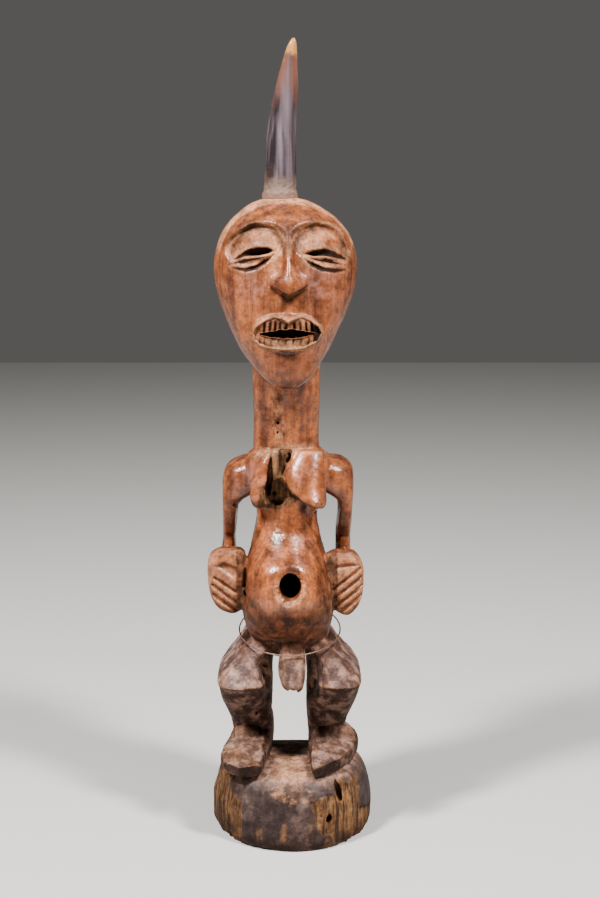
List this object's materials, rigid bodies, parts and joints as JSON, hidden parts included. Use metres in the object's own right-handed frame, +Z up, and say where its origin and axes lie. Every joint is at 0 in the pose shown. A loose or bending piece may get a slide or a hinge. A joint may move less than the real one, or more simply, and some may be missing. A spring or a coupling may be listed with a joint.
{
  "type": "power figure",
  "caption": "Standing carved wooden figure on a drum-shaped base, with a hollow in the belly, an animal horn set in the crown and a wire hoop around the hips.",
  "frame": {"origin": "centre of the base's flat underside", "axes": "+Z up through the horn, the face and belly look along -Y, +X is to the viewer's right"},
  "size_m": [0.1386, 0.1369, 0.66],
  "materials": {
    "wood": "hand-carved hardwood, oiled and handled smooth on the head and belly, dusty in the cuts, dark and rotted at the base",
    "horn": "polished near-black horn with an amber tip and a dull crust at its foot",
    "wire": "drawn iron wire, browned with rust"
  },
  "bodies": {
    "root": {"figure": "wood", "horn": "horn", "waist_wire": "wire"}
  },
  "joints": []
}
